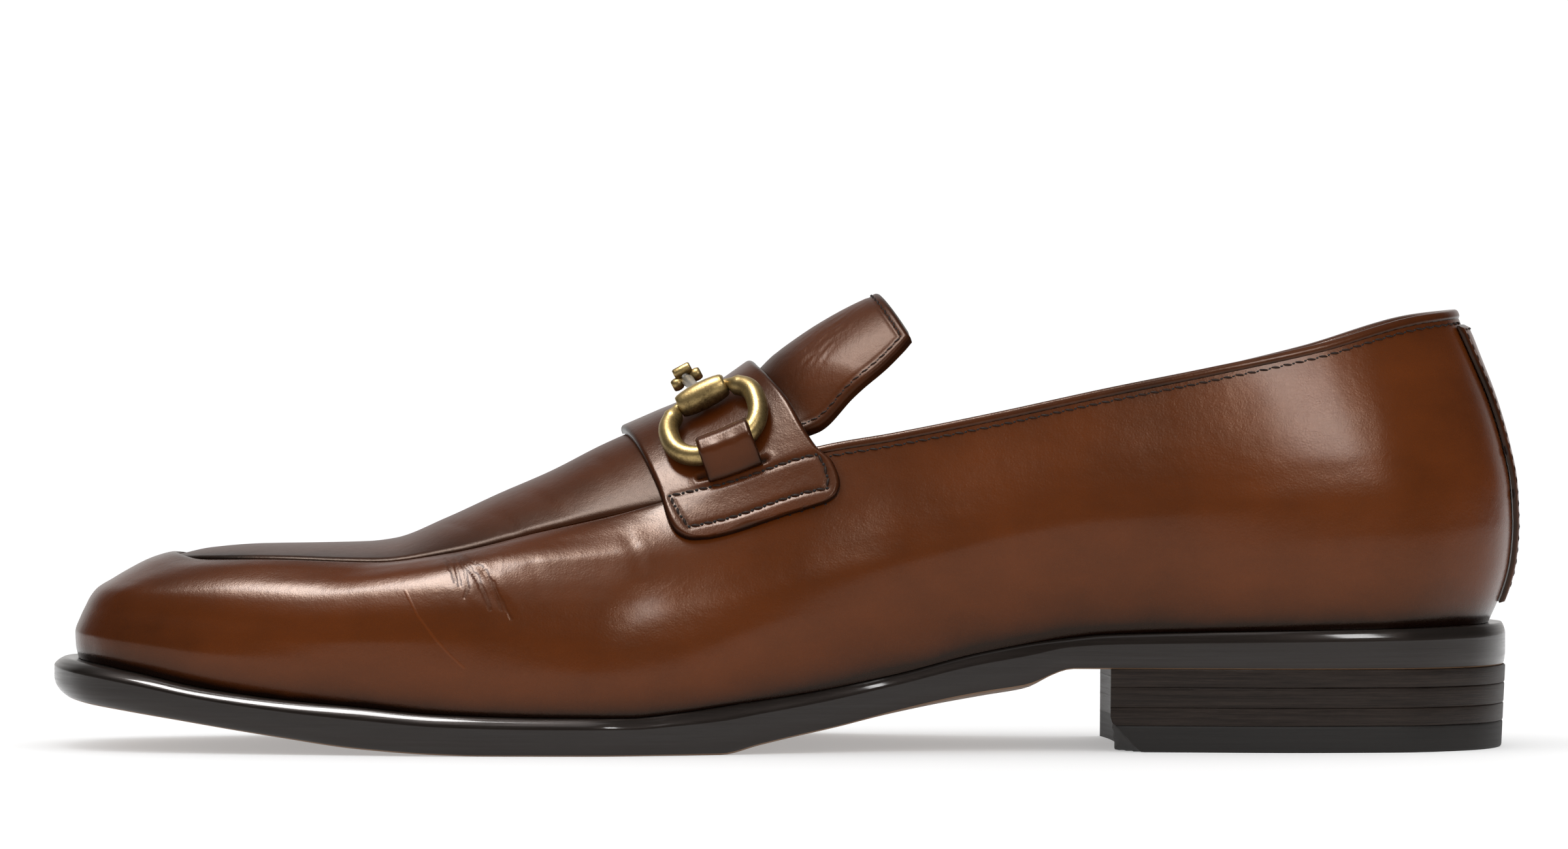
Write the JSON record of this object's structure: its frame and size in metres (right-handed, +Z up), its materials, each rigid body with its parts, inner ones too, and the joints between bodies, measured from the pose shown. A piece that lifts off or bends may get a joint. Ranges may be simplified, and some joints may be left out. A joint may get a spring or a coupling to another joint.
{
  "type": "leather loafer",
  "caption": "Leather loafer with a raised apron, an instep strap with a metal bit, a tongue and a stacked heel.",
  "frame": {"origin": "middle of the bounding box, on the floor under the shoe", "axes": "+Z up, -X towards the toe, +X towards the heel, -Y towards the inner (medial) side of the foot"},
  "size_m": [0.3028, 0.1064, 0.0936],
  "materials": {
    "upper_leather": "burnished, semi-gloss",
    "strap_leather": "burnished, semi-gloss",
    "insole_leather": "smooth, matt",
    "sole_leather": "blackened and waxed edge",
    "stacked_leather": "stained, with fine layer lines",
    "black_rubber": "matt",
    "antique_brass": "antiqued, soft gloss"
  },
  "bodies": {
    "root": {"heel_top_piece": "black_rubber", "heel_lift_1": "stacked_leather", "heel_lift_2": "stacked_leather", "heel_lift_3": "stacked_leather", "outsole": "sole_leather", "midsole_welt": "sole_leather", "insole": "insole_leather", "upper": "upper_leather", "tongue": "upper_leather", "collar_binding": "upper_leather", "back_strap": "upper_leather", "saddle_strap": "strap_leather", "keeper_medial": "strap_leather", "keeper_lateral": "strap_leather", "bit_ring_medial": "antique_brass", "bit_ring_lateral": "antique_brass", "bit_barrel_medial": "antique_brass", "bit_barrel_lateral": "antique_brass", "bit_centre_link": "antique_brass"}
  },
  "joints": []
}
